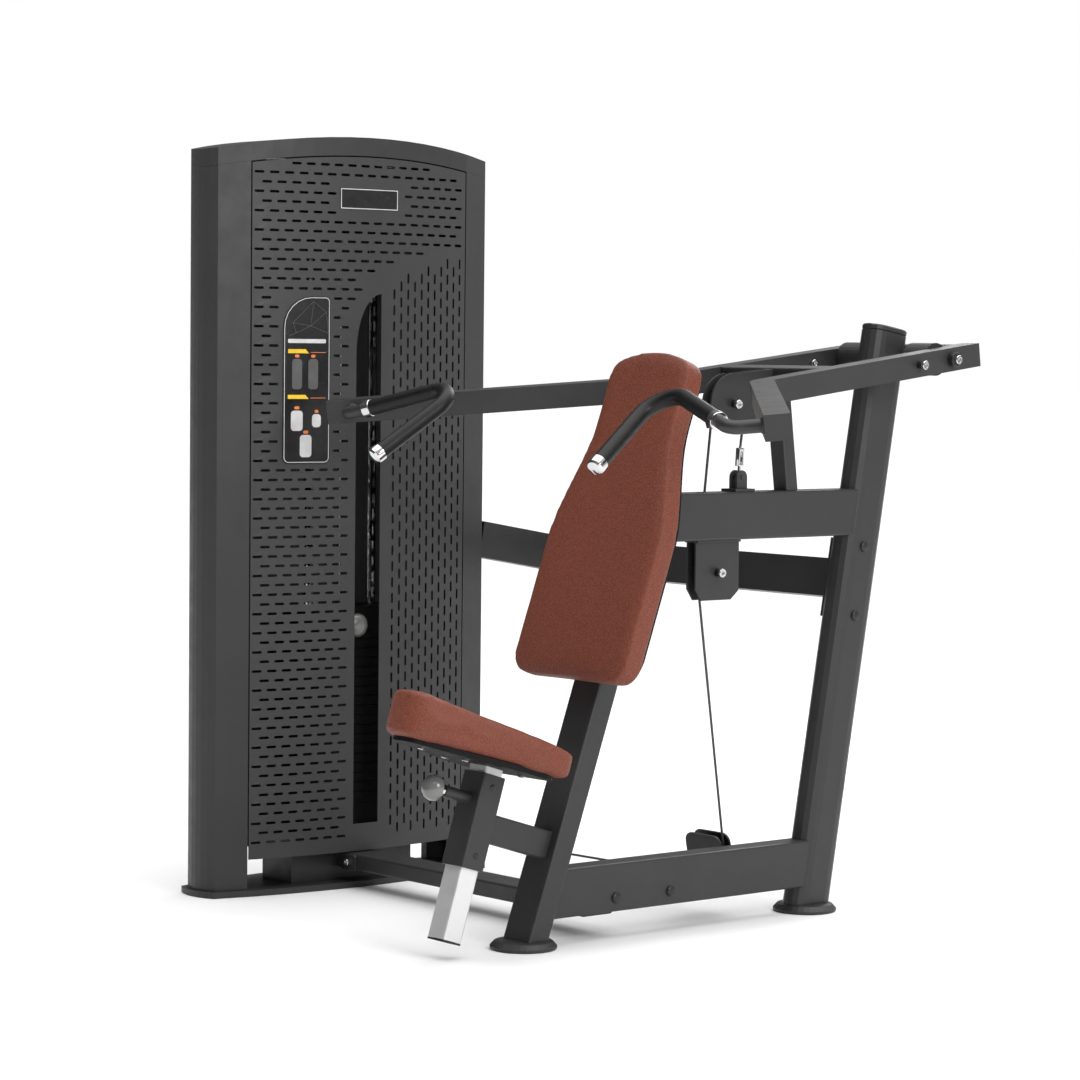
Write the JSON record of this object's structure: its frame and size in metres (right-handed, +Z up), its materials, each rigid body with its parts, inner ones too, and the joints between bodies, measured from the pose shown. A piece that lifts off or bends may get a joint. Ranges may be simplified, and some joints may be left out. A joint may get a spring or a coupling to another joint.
{
  "type": "shoulder press machine",
  "caption": "Selectorized shoulder press machine: leaning seat and back rest, overhead press lever with bent grips, and a side weight tower driven by cable and pulleys.",
  "frame": {"origin": "middle of the machine's outline on the floor", "axes": "+X to the seated user's left, away from the tower; -Y is where the user faces; +Z up"},
  "size_m": [1.5858, 1.3124, 1.5],
  "materials": {
    "frame_paint": "charcoal satin powder coat with a fine texture",
    "shroud_paint": "dark grey satin powder coat on sheet metal",
    "chrome": "polished chrome plate",
    "cast_plate": "black painted plate",
    "leather": "reddish brown upholstery, fine pebble grain",
    "rubber": "matte black",
    "nylon": "black moulded nylon",
    "knob_plastic": "grey moulded plastic",
    "cable_coat": "black coated wire rope",
    "print_plate": "black plate"
  },
  "bodies": {
    "machine": {"front_foot": "frame_paint", "rear_foot": "frame_paint", "seat_upright": "frame_paint", "rear_column": "frame_paint", "column_cap": "frame_paint", "base_beam": "frame_paint", "upper_beam": "frame_paint", "cross_tube": "frame_paint", "lower_tube": "frame_paint", "tower_front_post": "frame_paint", "tower_rear_post": "frame_paint", "tower_top_cap": "frame_paint", "tower_base": "frame_paint", "rod_top_bracket": "frame_paint", "mid_pulley_housing": "frame_paint", "low_pulley_bracket": "frame_paint", "cable_clevis": "frame_paint", "seat_housing": "frame_paint", "seat_arm": "frame_paint", "stop_post": "frame_paint", "tower_inner_shroud": "shroud_paint", "tower_outer_shroud": "shroud_paint", "guide_rod_front": "chrome", "guide_rod_rear": "chrome", "turnbuckle": "chrome", "pivot_shaft": "chrome", "weight_plates_a": "cast_plate", "weight_plates_b": "cast_plate", "weight_plates_c": "cast_plate", "back_board": "cast_plate", "back_pad": "leather", "stack_bumper": "rubber", "stop_pad": "rubber", "stack_cable": "cable_coat", "tower_cable": "cable_coat", "lever_cable": "cable_coat", "instruction_placard": "print_plate"},
    "stack": {"head_plate": "cast_plate", "selector_rod": "chrome", "weight_plate_top": "cast_plate"},
    "stack_pin": {"selector_pin": "knob_plastic"},
    "seat": {"seat_pad": "leather", "seat_board": "cast_plate", "seat_post": "chrome"},
    "seat_pin": {"pop_pin": "knob_plastic"},
    "lever": {"left_arm": "frame_paint", "right_arm": "frame_paint", "lever_crossmember": "frame_paint", "lever_rear_tie": "frame_paint", "lever_pulley_housing": "frame_paint", "left_handle": "chrome", "right_handle": "chrome", "left_grip": "rubber", "right_grip": "rubber"},
    "pulley_lever": {"lever_pulley": "nylon"},
    "pulley_mid": {"mid_pulley": "nylon"},
    "pulley_low": {"low_pulley": "nylon"},
    "pulley_foot": {"tower_foot_pulley": "nylon"},
    "pulley_front": {"top_pulley_front": "nylon"},
    "pulley_rear": {"top_pulley_rear": "nylon"}
  },
  "joints": [
    {"name": "lever_press", "type": "hinge", "parent": "machine", "child": "lever", "pos_m": [0.15107, 0.57155, 1.0717], "axis": [-1, 0, 0], "range_deg": [0, 35], "deforming": ["lever_cable"]},
    {"name": "stack_lift", "type": "slide", "parent": "machine", "child": "stack", "axis": [0, 0, 1], "range_m": [0, 0.54], "deforming": ["stack_cable"]},
    {"name": "selector_pin_pull", "type": "slide", "parent": "stack", "child": "stack_pin", "axis": [1, 0, 0], "range_m": [0, 0.05]},
    {"name": "seat_height", "type": "slide", "parent": "machine", "child": "seat", "axis": [0, 0.2957, 0.9553], "range_m": [0, 0.1]},
    {"name": "seat_pin_pull", "type": "slide", "parent": "machine", "child": "seat_pin", "axis": [0, -0.9553, 0.2957], "range_m": [0, 0.012], "stiffness_N_per_m": 400, "springref_m": -0.005},
    {"name": "pulley_lever_turn", "type": "hinge", "parent": "lever", "child": "pulley_lever", "pos_m": [0.15107, 0.13848, 0.98405], "axis": [-1, 0, 0], "range_deg": [0, 340]},
    {"name": "pulley_mid_turn", "type": "hinge", "parent": "machine", "child": "pulley_mid", "pos_m": [0.15107, 0.10155, 0.667], "axis": [-1, 0, 0], "range_deg": [0, 800]},
    {"name": "pulley_low_turn", "type": "hinge", "parent": "machine", "child": "pulley_low", "pos_m": [0.07607, 0.17555, 0.108], "axis": [0, -0.9798, -0.1998], "range_deg": [0, 800]},
    {"name": "pulley_foot_turn", "type": "hinge", "parent": "machine", "child": "pulley_foot", "pos_m": [-0.67593, 0.14655, 0.093], "axis": [0, -1, 0], "range_deg": [0, 1260]},
    {"name": "pulley_front_turn", "type": "hinge", "parent": "machine", "child": "pulley_front", "pos_m": [-0.68893, -0.11145, 1.385], "axis": [-1, 0, 0], "range_deg": [0, 800]},
    {"name": "pulley_rear_turn", "type": "hinge", "parent": "machine", "child": "pulley_rear", "pos_m": [-0.68893, 0.10655, 1.385], "axis": [-1, 0, 0], "range_deg": [0, 800]}
  ],
  "couplings": [
    {"joint": "stack_lift", "follows": "lever_press", "m_per_rad": 0.874},
    {"joint": "pulley_lever_turn", "follows": "lever_press", "ratio": 9.5},
    {"joint": "pulley_mid_turn", "follows": "lever_press", "ratio": 21.85},
    {"joint": "pulley_low_turn", "follows": "lever_press", "ratio": 21.85},
    {"joint": "pulley_foot_turn", "follows": "lever_press", "ratio": 34.96},
    {"joint": "pulley_front_turn", "follows": "lever_press", "ratio": 21.85},
    {"joint": "pulley_rear_turn", "follows": "lever_press", "ratio": 21.85}
  ]
}
